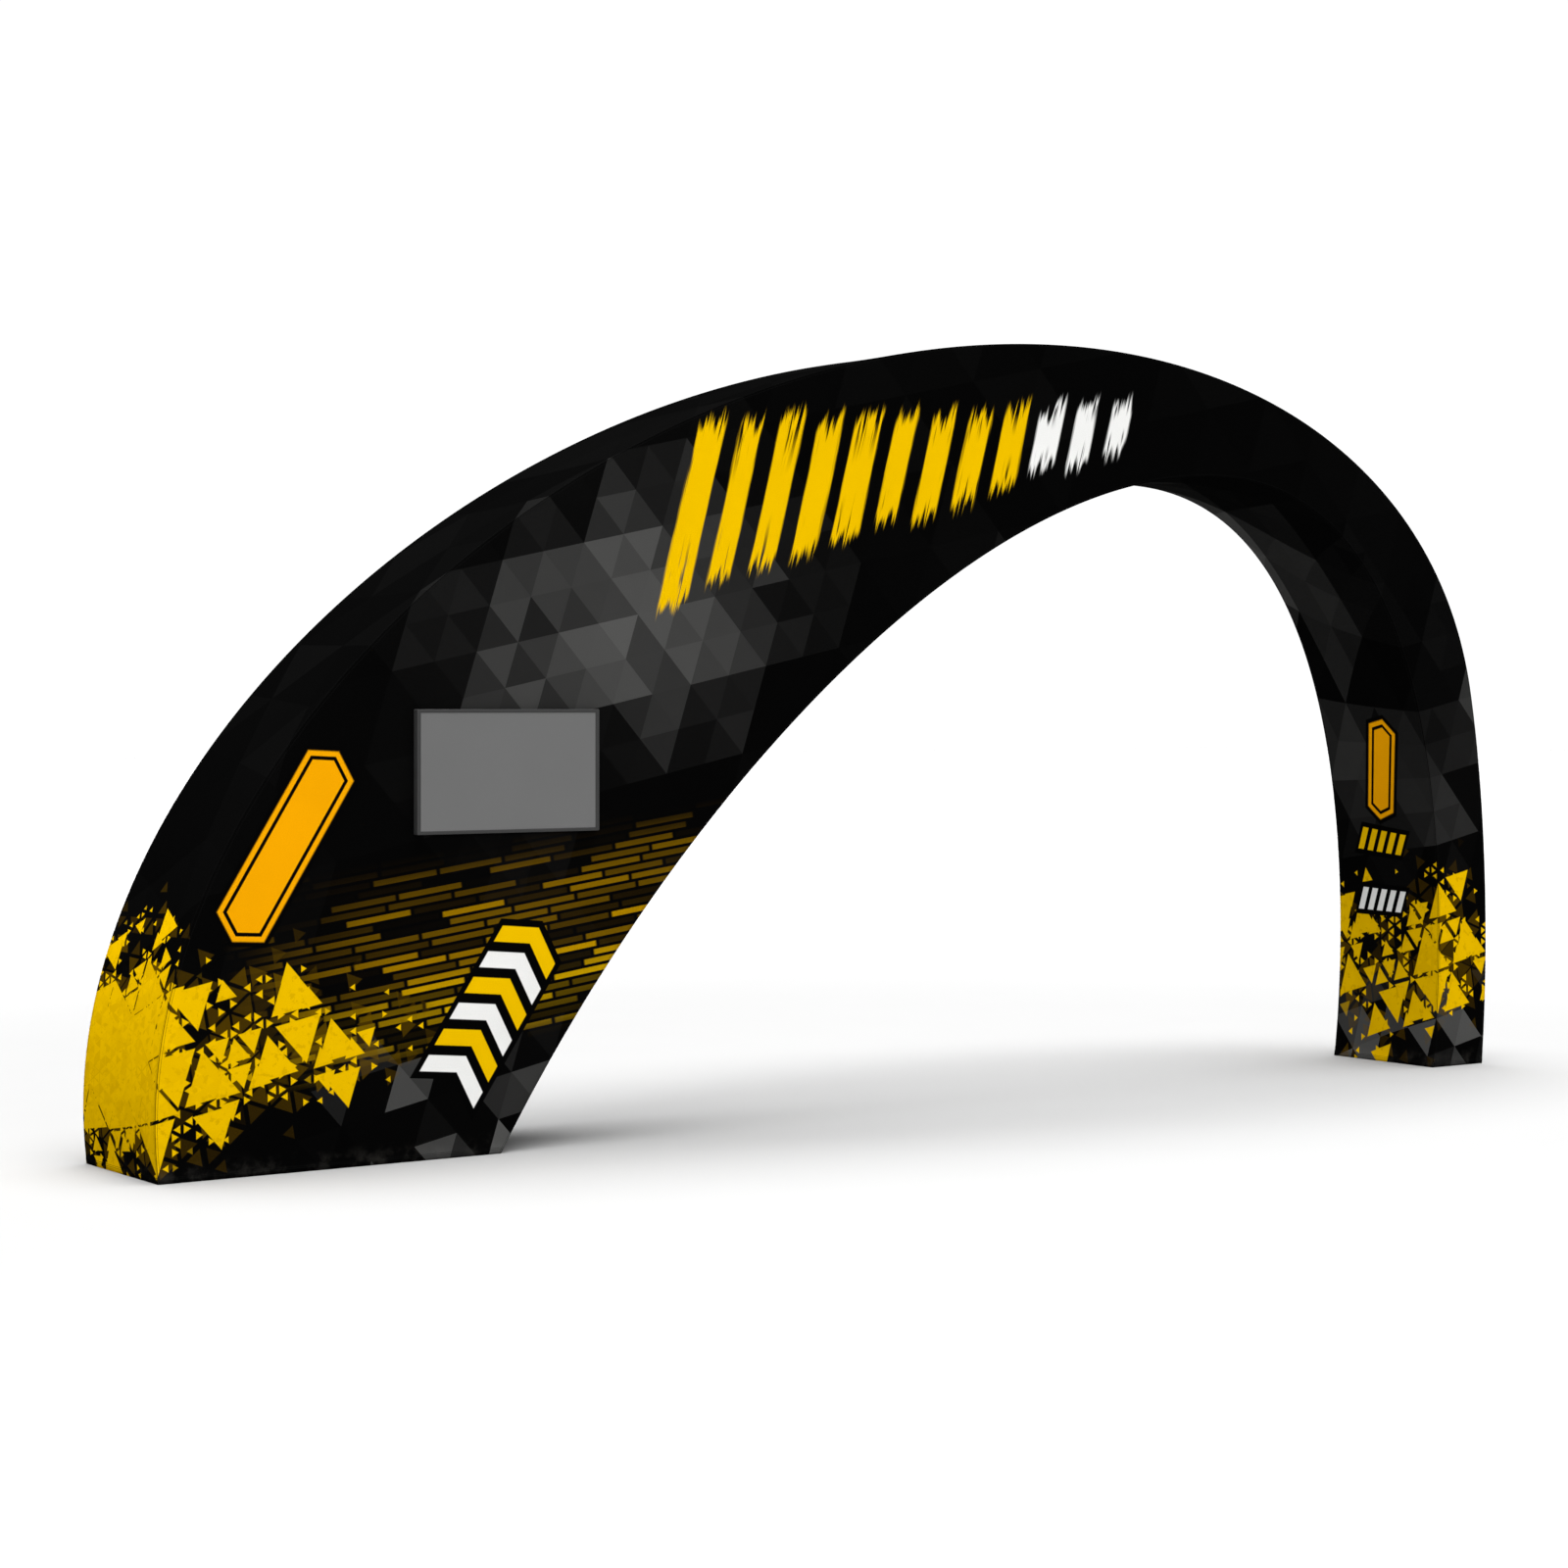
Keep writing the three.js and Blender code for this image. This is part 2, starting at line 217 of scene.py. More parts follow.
def strip_grid(rows):
    """Grid and maps of the strip along one edge, from the front seam to the back seam."""
    roll = roll_profile()
    across = np.linspace(ROLL, DEPTH - ROLL, STRIP_COLUMNS + 2)[1:-1]
    depth = np.concatenate([roll[:, 0], across, DEPTH - roll[::-1, 0]])
    inset = np.concatenate([roll[:, 1], np.zeros(STRIP_COLUMNS), roll[::-1, 1]])
    free = np.clip((depth - RAIL_WIDTH) / FREE_SPAN, 0, 1)
    sag = 4 * free * (1 - free)  # 0 over the rails and 1 halfway between them
    shift = rows.hem[:, None] - inset[None, :] - rows.dip[:, None] * sag[None, :]
    place = rows.place[:, None, :] + rows.outward[:, None, :] * shift[..., None]
    y = np.broadcast_to(FRONT + depth, shift.shape)
    printed = rows.place[:, None, :] + rows.outward[:, None, :] * (depth - inset)[None, :, None]
    lengths = np.broadcast_to(rows.lengths[:, None], shift.shape)
    from_seam = np.broadcast_to(np.minimum(depth, DEPTH - depth), shift.shape)
    seam = np.stack([from_seam, lengths], axis=-1)
    grain = np.stack([lengths, y], axis=-1)
    return np.stack([place[..., 0], y, place[..., 1]], axis=-1), printed, grain, seam


def add_cloth(name, points, printed, grain, seam, flip):
    """A sheet from a grid of points. Its print, its weave and its seams have a map each, in metres."""
    points = points.copy()
    points[..., 2] = np.maximum(points[..., 2], HEM_GAP)
    faces = grid_faces(*points.shape[:2])
    if flip:
        faces = faces[:, ::-1]
    mesh = bpy.data.meshes.new(name)
    mesh.from_pydata(points.reshape(-1, 3).tolist(), [], faces.tolist())
    for map_name, values in (("print", printed), ("grain", grain), ("seam", seam)):
        layer = mesh.uv_layers.new(name=map_name)
        at_corners = values.reshape(-1, 2)[faces.reshape(-1)]
        layer.data.foreach_set("uv", at_corners.astype(np.float32).ravel())
    mesh.shade_smooth()
    piece = add_object(name, mesh)
    thickness = piece.modifiers.new("cloth thickness", "SOLIDIFY")
    thickness.thickness = CLOTH_THICKNESS
    thickness.offset = -1
    thickness.material_offset = 1
    thickness.use_even_offset = True
    return piece


# Shader fields

MIX_SHARE, MIX_BELOW, MIX_ABOVE, MIX_RESULT = 0, 6, 7, 2  # sockets of the node that mixes colours


class Field:
    """A number, vector or colour that varies over a surface. Numbers can be combined by arithmetic."""

    def __init__(self, tree, socket):
        self.tree = tree
        self.socket = socket

    def math(self, operation, *others):
        node = self.tree.nodes.new("ShaderNodeMath")
        node.operation = operation
        for socket, value in zip(node.inputs, (self, *others)):
            plug(socket, value)
        return Field(self.tree, node.outputs[0])

    def __add__(self, other):
        return self.math("ADD", other)

    def __sub__(self, other):
        return self.math("SUBTRACT", other)

    def __rsub__(self, other):
        return self.math("MULTIPLY_ADD", -1.0, other)

    def __mul__(self, other):
        return self.math("MULTIPLY", other)

    def __truediv__(self, other):
        return self.math("DIVIDE", other)

    def __abs__(self):
        return self.math("ABSOLUTE")

    def floor(self):
        return self.math("FLOOR")

    def lower(self, other):
        return self.math("MINIMUM", other)

    def higher(self, other):
        return self.math("MAXIMUM", other)

    def above(self, other):
        return self.math("GREATER_THAN", other)

    def within(self, low, high):
        """1 from low to high, else 0."""
        return self.above(low) * (1.0 - self.above(high))

    def is_odd(self):
        """1 for an odd whole number, 0 for an even one."""
        half = self * 0.5
        return (half - half.floor()).above(0.25)

    def spread(self, low, high):
        """Is low where the field is 0 and high where it is 1."""
        return self * (high - low) + low

    def ramp(self, start, end):
        """Goes smoothly from 0 at start to 1 at end."""
        node = self.tree.nodes.new("ShaderNodeMapRange")
        node.interpolation_type = "SMOOTHSTEP"
        plug(node.inputs["Value"], self)
        node.inputs["From Min"].default_value = min(start, end)
        node.inputs["From Max"].default_value = max(start, end)
        rising = Field(self.tree, node.outputs[0])
        return rising if start < end else 1.0 - rising


def plug(socket, value):
    """Gives a socket a field, or a fixed value."""
    if isinstance(value, Field):
        value.tree.links.new(value.socket, socket)
    else:
        socket.default_value = value


def vector(x, y, z=0.0):
    node = x.tree.nodes.new("ShaderNodeCombineXYZ")
    for socket, value in zip(node.inputs, (x, y, z)):
        plug(socket, value)
    return Field(x.tree, node.outputs[0])


def noise(place, scale, detail=2.0, roughness=0.5, dimensions="2D"):
    node = place.tree.nodes.new("ShaderNodeTexNoise")
    node.noise_dimensions = dimensions
    plug(node.inputs["Vector"], place)
    node.inputs["Scale"].default_value = scale
    node.inputs["Detail"].default_value = detail
    node.inputs["Roughness"].default_value = roughness
    return Field(place.tree, node.outputs[0])


def chance(first, second=0.0, third=0.0):
    """An even random number from 0 to 1 for each set of whole numbers."""
    node = first.tree.nodes.new("ShaderNodeTexWhiteNoise")
    node.noise_dimensions = "3D"
    plug(node.inputs["Vector"], vector(first + 0.5, second + 0.5, third + 0.5))
    return Field(first.tree, node.outputs["Value"])


def blend_colour(share, below, above):
    """Colour above laid over colour below by a share. Either is a field or a fixed colour."""
    node = share.tree.nodes.new("ShaderNodeMix")
    node.data_type = "RGBA"
    plug(node.inputs[MIX_SHARE], share)
    plug(node.inputs[MIX_BELOW], below)
    plug(node.inputs[MIX_ABOVE], above)
    return Field(share.tree, node.outputs[MIX_RESULT])


def split_axes(tree, socket):
    node = tree.nodes.new("ShaderNodeSeparateXYZ")
    tree.links.new(socket, node.inputs[0])
    return [Field(tree, output) for output in node.outputs]


def read_map(tree, name):
    node = tree.nodes.new("ShaderNodeUVMap")
    node.uv_map = name
    return split_axes(tree, node.outputs[0])[:2]


def read_place(tree, kind="Object"):
    node = tree.nodes.new("ShaderNodeTexCoord")
    return split_axes(tree, node.outputs[kind])


def srgb(red, green, blue):
    """A colour given as screen values from 0 to 255, as a shader colour."""
    def linear(value):
        share = value / 255
        return share / 12.92 if share <= 0.04045 else ((share + 0.055) / 1.055) ** 2.4

    return (linear(red), linear(green), linear(blue), 1.0)


def grey(value):
    return srgb(value, value, value)


# The print, a made-up pattern

# It is drawn in metres on the unrolled cover. u runs from the broad leg's outer foot towards the slim leg,
# and v runs up. A fade is a pair of values: a motif is bare at the first and full at the second.
BLACK = grey(4)
YELLOW = srgb(210, 167, 0)
MUSTARD = srgb(150, 112, 0)
AMBER = srgb(216, 147, 2)
DARK_AMBER = srgb(92, 68, 2)
WHITE = srgb(214, 214, 212)
FACET_GREY = srgb(80, 80, 79)
SOFT = 0.004           # softness of a printed outline
SLIM_U = 3.5           # what lies beyond this u is drawn for the slim leg
STRIP_U = 5.63         # middle of the strip on the slim leg's inner side
SLIM_SEAM_U = 5.93     # seam between that strip and the slim leg's front

# Yellow shards. On each leg their density is highest up to u and within half_height of v, and falls by the
# losses for each metre beyond that.
BROAD_SHARDS = dict(density=1.42, u=-0.5, loss_along=0.86, v=0.46, half_height=0.14, loss_up=2.5)
SLIM_SHARDS = dict(density=0.86, u=SLIM_SEAM_U, loss_along=1.4, v=0.50, half_height=0.08, loss_up=2.0)
SHARD_WANDER = ((1.7, 1.1), (5.0, 0.7))  # scale and strength of the noises that ruffle the density
SHARD_LAYERS = (
    dict(size=0.24, degrees=12, gain=1.0, loss=0.16),
    dict(size=0.12, degrees=12, gain=0.9, loss=0.14),
    dict(size=0.05, degrees=31, gain=0.75, loss=0.10),
)
SHARD_FADE = (0.0, 0.02)
SHARD_GAP = 0.17       # how far a shard's sides draw in where the density is 0, as a share of its cell
SOLID_OVERLAP = -0.3   # least lack of density that counts for the gap, so that dense shards close up
SHARD_MUSTARD = 0.4    # largest share of mustard in a shard
HAZE_LAYER = dict(size=0.10, degrees=40, gain=1.0, loss=-0.12)
HAZE_SHARES = (0.1, 0.8)
FLECK_SCALE, FLECK_FADE, FLECK_SHARE = 34.0, (0.58, 0.66), 0.3

# Dark facets: in a band that rises from the broad leg, on the slim leg and low down
FACET_SIZE, FINE_FACET_SIZE, FACET_TURN = 0.34, 0.17, 12
COARSE_SHARE, FINE_SHARE = 0.6, 0.4
FACET_CLOUD_SCALE, FACET_CLOUD_FADE = 0.9, (0.34, 0.64)
BAND_AT, BAND_TURN = (1.62, 1.72), 34
BAND_SIDE_FADE, BAND_START_FADE, BAND_END_FADE = (0.60, 0.1), (-0.9, -0.3), (1.4, 0.4)
SLIM_FACETS_V, SLIM_FACETS_FADE, SLIM_FACETS_SHARE = 1.5, (0.75, 0.2), 0.6
LOW_FACETS_TOP_FADE, LOW_FACETS_SIDE_FADE = (0.46, 0.12), (0.55, 0.85)
LOW_FACETS_CHOICE, LOW_FACETS_SHARE = (0.45, 0.95), 0.8
FACET_GROUND = 0.012   # largest share of grey on the facets elsewhere

# Thin dashes in rows across the broad leg
DASH_AT, DASH_TURN = (0.35, 0.52), 8
DASH_PITCH, DASH_LENGTH = 0.030, 0.26
DASH_SHIFT = 9.0       # most dash lengths by which a row is shifted
DASH_SIDE_FADE, DASH_TIP_FADE = (0.36, 0.27), (0.49, 0.45)
DASHES_LOW_FADE, DASHES_HIGH_FADE, DASHES_START_FADE = (-0.28, -0.12), (0.46, 0.10), (-0.1, 0.6)
DASHES_YELLOW_FADE = (0.06, -0.12)

# Slanted brush strokes that climb towards the crown
STROKES_AT, STROKES_TURN, STROKE_LEAN = (1.92, 1.96), 17, 0.62
STROKE_PITCH, STROKE_COUNT, YELLOW_STROKES = 0.20, 12, 9
STROKE_HEIGHT, STROKE_LOSS = 0.52, 0.036  # height of the first stroke, and how much shorter each next one is
STROKE_HALF_WIDTHS = (0.28, 0.38)         # as a share of the pitch
LOW_END_SPREAD, HIGH_END_SPREAD = 0.06, 0.04
STROKE_SIDE_FADE, STROKE_END_FADE = (-0.03, 0.04), (-0.02, 0.02)
BRISTLE_ALONG, BRISTLE_UP = 5.8, 1.7      # scales of the brush's bristles
BRISTLE_SIDE, BRISTLE_END = 0.18, 0.24    # how ragged they make a stroke's sides and ends
DRY_FADE, DRY_END_FADE = (0.08, 0.14), (0.1, 0.5)

# Arrow heads along the opening
ARROWS_AT, ARROWS_TURN = (1.10, 0.28), -34
ARROW_HALF_WIDTH, ARROW_PITCH, ARROW_COUNT = 0.13, 0.105, 6
ARROW_SLOPE, ARROW_FADE = 0.55, (0.33, 0.29)
ARROW_MARGIN = 0.016   # of the ground at the sides
ARROW_END_MARGIN = 0.08  # of the ground at both ends, as a share of the pitch

# Slanted bars on the slim leg's strip
BARS_AT, BAR_ROW_PITCH, BAR_ROW_COUNT = (STRIP_U, 0.58), 0.24, 2
BAR_COUNT, BAR_PITCH, BAR_LEAN = 5, 0.056, 0.35
BAR_HALF_WIDTH, BAR_HALF_HEIGHT, BAR_MARGIN = 0.015, 0.043, 0.020
BAR_SOFT, BAR_END_SOFT = 0.003, 0.01

# Blank six-sided plates
PLATES = (
    dict(at=(0.46, 1.10), degrees=58, width=0.74, height=0.20),
    dict(at=(STRIP_U, 1.24), degrees=88, width=0.42, height=0.15),
)
PLATE_SLOPE, PLATE_RIM = 0.55, 0.018
PLATE_LINE, PLATE_LINE_FADE = 0.024, (0.005, 0.008)


def turned(u, v, at, degrees):
    """Coordinates along and across a line at an angle through a point."""
    angle = math.radians(degrees)
    x, y = u - at[0], v - at[1]
    return x * math.cos(angle) + y * math.sin(angle), y * math.cos(angle) - x * math.sin(angle)


def triangle_cells(u, v, size, degrees):
    """Triangles of one size: a random number for each, its middle, and how deep inside it a point is."""
    along, across = turned(u, v, (0.0, 0.0), degrees)
    height = size * math.sqrt(3) / 2
    up = across / height
    over = along / size - up * 0.5
    column, row = over.floor(), up.floor()
    x, y = over - column, up - row
    upper = (x + y).above(1.0)
    lower_depth = x.lower(y).lower(1.0 - x - y)
    upper_depth = (1.0 - x).lower(1.0 - y).lower(x + y - 1.0)
    third = upper * (1 / 3) + 1 / 3
    middle_across = (row + third) * height
    middle_along = (column + third) * size + middle_across * (0.5 * size / height)
    middle = turned(middle_along, middle_across, (0.0, 0.0), -degrees)
    return chance(column, row, upper), middle, lower_depth.higher(upper_depth)


def leg_density(u, v, leg):
    """How thickly the shards lie on one leg."""
    beyond = (u - leg["u"]).higher(0.0)
    away = (abs(v - leg["v"]) - leg["half_height"]).higher(0.0)
    return leg["density"] - beyond * leg["loss_along"] - away * leg["loss_up"]


def shard_density(u, v):
    """How thickly the yellow shards lie: over 1 is solid, under 0 is bare."""
    broad, slim = leg_density(u, v, BROAD_SHARDS), leg_density(u, v, SLIM_SHARDS)
    density = broad + (slim - broad) * u.above(SLIM_U)
    for scale, strength in SHARD_WANDER:
        density = density + (noise(vector(u, v), scale) - 0.5) * strength
    return density


def shards(u, v, size, degrees, gain, loss):
    """Triangles that shrink and thin out as the density falls: their share, and a random number for each."""
    number, middle, depth = triangle_cells(u, v, size, degrees)
    density = shard_density(*middle) * gain - loss
    gap = (1.0 - density).higher(SOLID_OVERLAP) * SHARD_GAP
    return (density - number).ramp(*SHARD_FADE) * (depth - gap).ramp(0.0, SOFT / size), number


def facets(u, v):
    """Share of grey on the dark facets."""
    number, middle, _ = triangle_cells(u, v, FACET_SIZE, FACET_TURN)
    fine, (fine_u, fine_v), _ = triangle_cells(u, v, FINE_FACET_SIZE, FACET_TURN)
    cloud = noise(vector(*middle), FACET_CLOUD_SCALE).ramp(*FACET_CLOUD_FADE)
    along, across = turned(*middle, BAND_AT, BAND_TURN)
    band = abs(across).ramp(*BAND_SIDE_FADE) * along.ramp(*BAND_START_FADE) * along.ramp(*BAND_END_FADE)
    slim = abs(middle[1] - SLIM_FACETS_V).ramp(*SLIM_FACETS_FADE)
    slim = slim * middle[0].above(SLIM_U) * SLIM_FACETS_SHARE
    high = (number * COARSE_SHARE + fine * FINE_SHARE) * cloud * band.higher(slim)
    low = fine_v.ramp(*LOW_FACETS_TOP_FADE) * fine_u.ramp(*LOW_FACETS_SIDE_FADE)
    low = low * fine.ramp(*LOW_FACETS_CHOICE) * LOW_FACETS_SHARE
    return high.higher(low).higher(number * number * FACET_GROUND)


def dashes(u, v):
    """Rows of thin dashes that rise slowly: their share, and 1 on the low ones, which are yellow."""
    along, across = turned(u, v, DASH_AT, DASH_TURN)
    row = (across / DASH_PITCH).floor()
    run = along / DASH_LENGTH + chance(row) * DASH_SHIFT
    step = run.floor()
    number = chance(row, step, 1.0)
    in_row = abs(across / DASH_PITCH - row - 0.5).ramp(*DASH_SIDE_FADE)
    in_dash = abs(run - step - 0.5).ramp(*DASH_TIP_FADE)
    zone = across.ramp(*DASHES_LOW_FADE) * across.ramp(*DASHES_HIGH_FADE) * along.ramp(*DASHES_START_FADE)
    on_broad_leg = 1.0 - u.above(SLIM_U)
    share = in_row * in_dash * zone * on_broad_leg * number * number
    return share, across.ramp(*DASHES_YELLOW_FADE)


def strokes(u, v):
    """Brush strokes that grow shorter towards the crown: their share, and 1 on the last, white ones."""
    along, across = turned(u, v, STROKES_AT, STROKES_TURN)
    lean = (along - across * STROKE_LEAN) / STROKE_PITCH
    index = lean.floor()
    row = index.within(-0.5, STROKE_COUNT - 0.5)
    wide, low_end, high_end = (chance(index, key) for key in (1.0, 2.0, 3.0))
    height = STROKE_HEIGHT - index * STROKE_LOSS
    brush = vector(lean * BRISTLE_ALONG, across * BRISTLE_UP)
    bristle = noise(brush, 1.0, detail=3.0, roughness=0.65) - 0.5
    side = abs(lean - index - 0.5) + bristle * BRISTLE_SIDE
    body = (wide.spread(*STROKE_HALF_WIDTHS) - side).ramp(*STROKE_SIDE_FADE)
    from_low = across + bristle * BRISTLE_END + low_end * LOW_END_SPREAD
    from_high = height - across + bristle * BRISTLE_END + high_end * HIGH_END_SPREAD
    ends = from_low.ramp(*STROKE_END_FADE) * from_high.ramp(*STROKE_END_FADE)
    dry = 1.0 - bristle.ramp(*DRY_FADE) * abs(across / height - 0.5).ramp(*DRY_END_FADE)
    return body * ends * row * dry, index.above(YELLOW_STROKES - 0.5)


def arrows(u, v):
    """Arrow heads one behind the other: share of their ground, of the heads, and 1 on every other head."""
    x, y = turned(u, v, ARROWS_AT, ARROWS_TURN)
    climb = (y + abs(x) * ARROW_SLOPE) / ARROW_PITCH
    index = climb.floor()
    ground_edge = ARROW_HALF_WIDTH + ARROW_MARGIN
    ground = abs(x).ramp(ground_edge + SOFT, ground_edge)
    ground = ground * climb.within(-ARROW_END_MARGIN, ARROW_COUNT + ARROW_END_MARGIN)
    body = abs(climb - index - 0.5).ramp(*ARROW_FADE)
    body = body * abs(x).ramp(ARROW_HALF_WIDTH, ARROW_HALF_WIDTH - SOFT)
    return ground, body * climb.within(0.0, ARROW_COUNT), index.is_odd()


def bar_rows(u, v):
    """Rows of bars, one above the other: share of their ground, of the bars, and 1 on every other row."""
    def inside(distance, limit, soft=BAR_SOFT):
        return abs(distance).ramp(limit + soft, limit)

    x, y = u - BARS_AT[0], v - BARS_AT[1]
    row = (y / BAR_ROW_PITCH).floor()
    height = y - row * BAR_ROW_PITCH - BAR_ROW_PITCH / 2
    place = x - height * BAR_LEAN
    bar = (place / BAR_PITCH + 0.5).floor()
    rows = y.within(0.0, BAR_ROW_PITCH * BAR_ROW_COUNT)
    ground = inside(height, BAR_HALF_HEIGHT + BAR_MARGIN)
    ground = ground * inside(place, BAR_COUNT * BAR_PITCH / 2, BAR_END_SOFT)
    body = inside(place - bar * BAR_PITCH, BAR_HALF_WIDTH) * inside(height, BAR_HALF_HEIGHT)
    return ground * rows, body * bar.within(-BAR_COUNT / 2, BAR_COUNT / 2) * rows, row.is_odd()


def plate(u, v, at, degrees, width, height):
    """A blank six-sided plate with a dark rim: the share of the rim, and of the plate inside it."""
    x, y = turned(u, v, at, degrees)
    side = (abs(x) + abs(y) * PLATE_SLOPE - width / 2) / math.hypot(1.0, PLATE_SLOPE)
    distance = side.higher(abs(y) - height / 2)
    rim = (distance - PLATE_RIM).ramp(SOFT, -SOFT)
    return rim, distance.ramp(SOFT, -SOFT) * abs(distance + PLATE_LINE).ramp(*PLATE_LINE_FADE)


def print_colour(tree):
    """The whole print as a colour."""
    x, v = read_map(tree, "print")
    u = x - float(FOOT_X)
    colour = blend_colour(facets(u, v), BLACK, FACET_GREY)
    dash, low = dashes(u, v)
    colour = blend_colour(dash, colour, blend_colour(low, MUSTARD, YELLOW))
    haze, number = shards(u, v, **HAZE_LAYER)
    colour = blend_colour(haze * number.spread(*HAZE_SHARES), colour, DARK_AMBER)
    flecks = noise(vector(u, v), FLECK_SCALE, detail=3.0, roughness=0.6).ramp(*FLECK_FADE)
    for layer in SHARD_LAYERS:
        share, number = shards(u, v, **layer)
        dark = (number * number * SHARD_MUSTARD).higher(flecks * FLECK_SHARE)
        colour = blend_colour(share, colour, blend_colour(dark, YELLOW, MUSTARD))
    stroke, white = strokes(u, v)
    colour = blend_colour(stroke, colour, blend_colour(white, YELLOW, WHITE))
    for shape in PLATES:
        rim, body = plate(u, v, **shape)
        colour = blend_colour(rim, colour, BLACK)
        colour = blend_colour(body, colour, AMBER)
    for ground, body, odd in (arrows(u, v), bar_rows(u, v)):
        colour = blend_colour(ground, colour, BLACK)
        colour = blend_colour(body, colour, blend_colour(odd, WHITE, YELLOW))
    return colour


# Materials

KNIT_PITCH = 0.0016    # of the ribs one way
CROSS_RIBS = 0.7       # ribs the other way for each of those
RIB_HEIGHT, UNEVEN_SCALE = 0.03, 5.0
KNIT_DEPTH, PRINTED_BUMP, REVERSE_BUMP = 0.003, 0.35, 0.3
PRINTED_ROUGH, REVERSE_ROUGH = (0.74, 0.86), (0.8, 0.9)
REVERSE_DARK, REVERSE_LIGHT, REVERSE_SCALE = grey(150), srgb(178, 178, 176), 180.0
GRAIN_SCALE, WEAR_SCALE = 260.0, 3.0
GRAIN_TINT, WEAR_TINT, LEAST_TINT = 0.16, 0.10, 0.87
THREAD = grey(15)
THREAD_EDGE = (0.0009, 0.0005)  # half width of a thread, from its soft edge inwards
STITCH_LENGTH, STITCH_FADE = 0.0045, (0.42, 0.34)
HEM_STITCH = 0.018     # middle of the two rows of stitches along a hem
HEM_STITCH_SPREAD = 0.003
SEAM_STITCH = 0.009    # from a seam to the stitches beside it
CREASE_EDGE, CREASE_SHADE = (0.0030, 0.0016), 0.75
DUST, DUST_SHARE, DUST_HEIGHT = srgb(150, 146, 138), 0.035, 0.09
DUST_SCALE, DUST_FADE = 14.0, (0.45, 0.75)
MOTTLE_FADE, MOTTLE_DEPTH = (0.3, 0.7), 0.0005


def new_material(name):
    material = bpy.data.materials.new(name)
    material.use_nodes = True
    tree = material.node_tree
    return material, tree, tree.nodes["Principled BSDF"].inputs


def add_bump(tree, sockets, height, strength, distance):
    node = tree.nodes.new("ShaderNodeBump")
    node.inputs["Strength"].default_value = strength
    node.inputs["Distance"].default_value = distance
    plug(node.inputs["Height"], height)
    tree.links.new(node.outputs[0], sockets["Normal"])


def stitch_dashes(run):
    """1 on a stitch and 0 between two, along a run in metres."""
    step = run / STITCH_LENGTH
    return abs(step - step.floor() - 0.5).ramp(*STITCH_FADE)


def hem_stitches(tree):
    """Share of thread in two rows of stitches along the hems."""
    x, y, z = read_place(tree)
    from_thread = abs(abs(z - HEM_STITCH) - HEM_STITCH_SPREAD)
    return from_thread.ramp(*THREAD_EDGE) * stitch_dashes(x + y)


def seam_lines(tree):
    """Share of thread in the stitches beside a seam, and of shade in the crease of the seam itself."""
    distance, run = read_map(tree, "seam")
    thread = abs(distance - SEAM_STITCH).ramp(*THREAD_EDGE)
    return thread * stitch_dashes(run), distance.ramp(*CREASE_EDGE)


def knit_height(along, across):
    """Fine ribs of the knit, and the slow unevenness of stretched cloth."""
    turn = 2 * math.pi / KNIT_PITCH
    ribs = (along * turn).math("SINE") + (across * (turn * CROSS_RIBS)).math("SINE")
    return ribs * RIB_HEIGHT + noise(vector(along, across), UNEVEN_SCALE)


def printed_material():
    """Matt dye-printed cloth."""
    material, tree, sockets = new_material("printed_cloth")
    along, across = read_map(tree, "grain")
    place = vector(along, across)
    grain = noise(place, GRAIN_SCALE)
    worn = noise(place, WEAR_SCALE, detail=3.0)
    seam_stitches, crease = seam_lines(tree)
    stitches = hem_stitches(tree).higher(seam_stitches)
    colour = blend_colour(crease * CREASE_SHADE, print_colour(tree), BLACK)
    colour = blend_colour(stitches, colour, THREAD)
    height = read_place(tree)[2]
    dust = noise(place, DUST_SCALE, detail=4.0, roughness=0.65).ramp(*DUST_FADE)
    dust = dust * height.ramp(DUST_HEIGHT, 0.0)
    colour = blend_colour(dust * DUST_SHARE, colour, DUST)
    tint = tree.nodes.new("ShaderNodeVectorMath")
    tint.operation = "SCALE"
    plug(tint.inputs[0], colour)
    plug(tint.inputs["Scale"], grain * GRAIN_TINT + worn * WEAR_TINT + LEAST_TINT)
    tree.links.new(tint.outputs[0], sockets["Base Color"])
    plug(sockets["Roughness"], grain.spread(*PRINTED_ROUGH))
    sockets["Specular IOR Level"].default_value = 0.0
    add_bump(tree, sockets, knit_height(along, across), PRINTED_BUMP, KNIT_DEPTH)
    return material


def reverse_material():
    """Unprinted reverse of the cloth, which shows from below."""
    material, tree, sockets = new_material("cloth_reverse")
    along, across = read_map(tree, "grain")
    shade = noise(vector(along, across), REVERSE_SCALE)
    plug(sockets["Base Color"], blend_colour(shade, REVERSE_DARK, REVERSE_LIGHT))
    plug(sockets["Roughness"], shade.spread(*REVERSE_ROUGH))
    sockets["Specular IOR Level"].default_value = 0.2
    add_bump(tree, sockets, knit_height(along, across), REVERSE_BUMP, KNIT_DEPTH)
    return material


def mottled_material(name, dark, light, rough, scale, bump=0.0, metallic=0.0):
    """Two close shades mixed by noise, with roughness and bump from the same noise."""
    material, tree, sockets = new_material(name)
    cloud = noise(vector(*read_place(tree)), scale, dimensions="3D")
    plug(sockets["Base Color"], blend_colour(cloud.ramp(*MOTTLE_FADE), dark, light))
    plug(sockets["Roughness"], cloud.spread(*rough))
    sockets["Metallic"].default_value = metallic
    if bump:
        add_bump(tree, sockets, cloud, bump, MOTTLE_DEPTH)
    return material


def set_material(piece, *materials):
    piece.data.materials.clear()
    for material in materials:
        piece.data.materials.append(material)


# Cover

RAIL_SECTIONS = (1, 2, 3)


def polygon_area(points):
    x, z = points[:, 0], points[:, 1]
    return abs(np.dot(x, np.roll(z, -1)) - np.dot(z, np.roll(x, -1))) / 2


